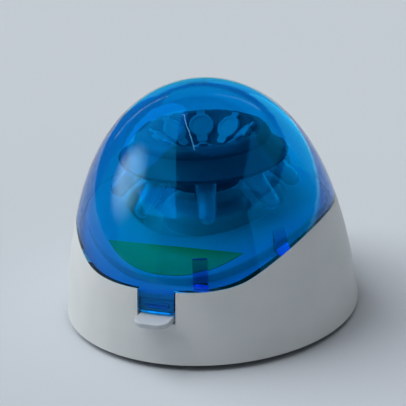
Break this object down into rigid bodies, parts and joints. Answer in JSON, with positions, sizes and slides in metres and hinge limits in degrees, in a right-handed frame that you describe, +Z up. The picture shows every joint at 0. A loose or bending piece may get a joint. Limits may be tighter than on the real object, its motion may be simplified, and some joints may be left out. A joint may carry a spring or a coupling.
{
  "type": "mini centrifuge",
  "caption": "Mini bench centrifuge: round base, clear hinged bell lid with a push latch, and a rotor that holds sample tubes at a lean.",
  "frame": {"origin": "on the table under the middle of the object's box", "axes": "+Z up along the rotor's axis, -Y towards the front latch, +X to the right seen from the front"},
  "size_m": [0.155, 0.1668, 0.1224],
  "materials": {
    "white_casing": "moulded ABS, fine satin texture",
    "blue_lid": "clear blue moulded polycarbonate, polished",
    "yellow_label": "bare printed film, satin",
    "dark_cover": "moulded ABS, satin",
    "black_rubber": "moulded rubber, matt",
    "zinc_screws": "zinc plated",
    "spring_steel": "ground and polished",
    "steel_cup": "zinc plated sheet",
    "motor_iron": "sintered and laminated",
    "black_nylon": "moulded, satin",
    "brass_parts": "turned",
    "green_board": "solder resist, satin",
    "capacitor_sleeve": "shrink sleeve",
    "bare_aluminium": "extruded",
    "white_nylon": "moulded nylon",
    "rotor_plastic": "moulded glass filled nylon, fine satin",
    "tube_plastic": "clear natural polypropylene"
  },
  "bodies": {
    "base": {"base_shell": "white_casing", "chamber_deck": "white_casing", "deck_label": "yellow_label", "bottom_cover": "dark_cover", "rubber_feet": "black_rubber", "cover_screws": "zinc_screws", "deck_screws": "zinc_screws", "motor_cup": "steel_cup", "motor_can": "steel_cup", "motor_magnets": "motor_iron", "motor_end_cap": "black_nylon", "motor_terminals": "brass_parts", "motor_bushes": "brass_parts", "motor_screws": "zinc_screws", "motor_dampers": "black_rubber", "damper_screws": "zinc_screws", "control_board": "green_board", "board_screws": "zinc_screws", "capacitor": "capacitor_sleeve", "heat_sink": "bare_aluminium", "wire_headers": "white_nylon", "power_inlet": "black_nylon", "inlet_contact": "brass_parts", "power_switch": "black_nylon", "interlock_switch": "black_nylon", "latch_guide": "white_casing", "guide_screws": "zinc_screws", "latch_spring": "spring_steel", "hinge_pin": "spring_steel"},
    "lid": {"lid_shell": "blue_lid"},
    "rotor": {"rotor": "rotor_plastic", "drive_collet": "brass_parts", "rotor_nut": "rotor_plastic", "motor_shaft": "spring_steel", "motor_armature": "motor_iron", "sample_tube_1": "tube_plastic", "sample_tube_2": "tube_plastic", "sample_tube_3": "tube_plastic", "sample_tube_4": "tube_plastic", "sample_tube_5": "tube_plastic", "sample_tube_6": "tube_plastic", "sample_tube_7": "tube_plastic", "sample_tube_8": "tube_plastic", "tube_cap_1": "tube_plastic", "tube_cap_2": "tube_plastic", "tube_cap_3": "tube_plastic", "tube_cap_4": "tube_plastic", "tube_cap_5": "tube_plastic", "tube_cap_6": "tube_plastic", "tube_cap_7": "tube_plastic", "tube_cap_8": "tube_plastic"},
    "latch": {"latch_slider": "white_casing"},
    "rocker": {"switch_rocker": "black_nylon"},
    "interlock": {"interlock_pin": "white_casing"}
  },
  "joints": [
    {"name": "lid_hinge", "type": "hinge", "parent": "base", "child": "lid", "pos_m": [0, 0.071, 0.06], "axis": [-1, 0, 0], "range_deg": [0, 80]},
    {"name": "rotor_spin", "type": "hinge", "parent": "base", "child": "rotor", "pos_m": [0, 0, 0.05], "axis": [0, 0, 1], "continuous": true},
    {"name": "latch_push", "type": "slide", "parent": "base", "child": "latch", "axis": [0, 1, 0], "range_m": [0, 0.004], "stiffness_N_per_m": 500, "springref_m": -0.002, "deforming": ["latch_spring"]},
    {"name": "switch_rock", "type": "hinge", "parent": "base", "child": "rocker", "pos_m": [-0.016, 0.0794, 0.022], "axis": [-1, 0, 0], "range_deg": [0, 14]},
    {"name": "interlock_rise", "type": "slide", "parent": "base", "child": "interlock", "axis": [0, 0, 1], "range_m": [0, 0.002]}
  ],
  "couplings": [
    {"joint": "interlock_rise", "follows": "lid_hinge", "m_per_rad": 0.0014323}
  ]
}
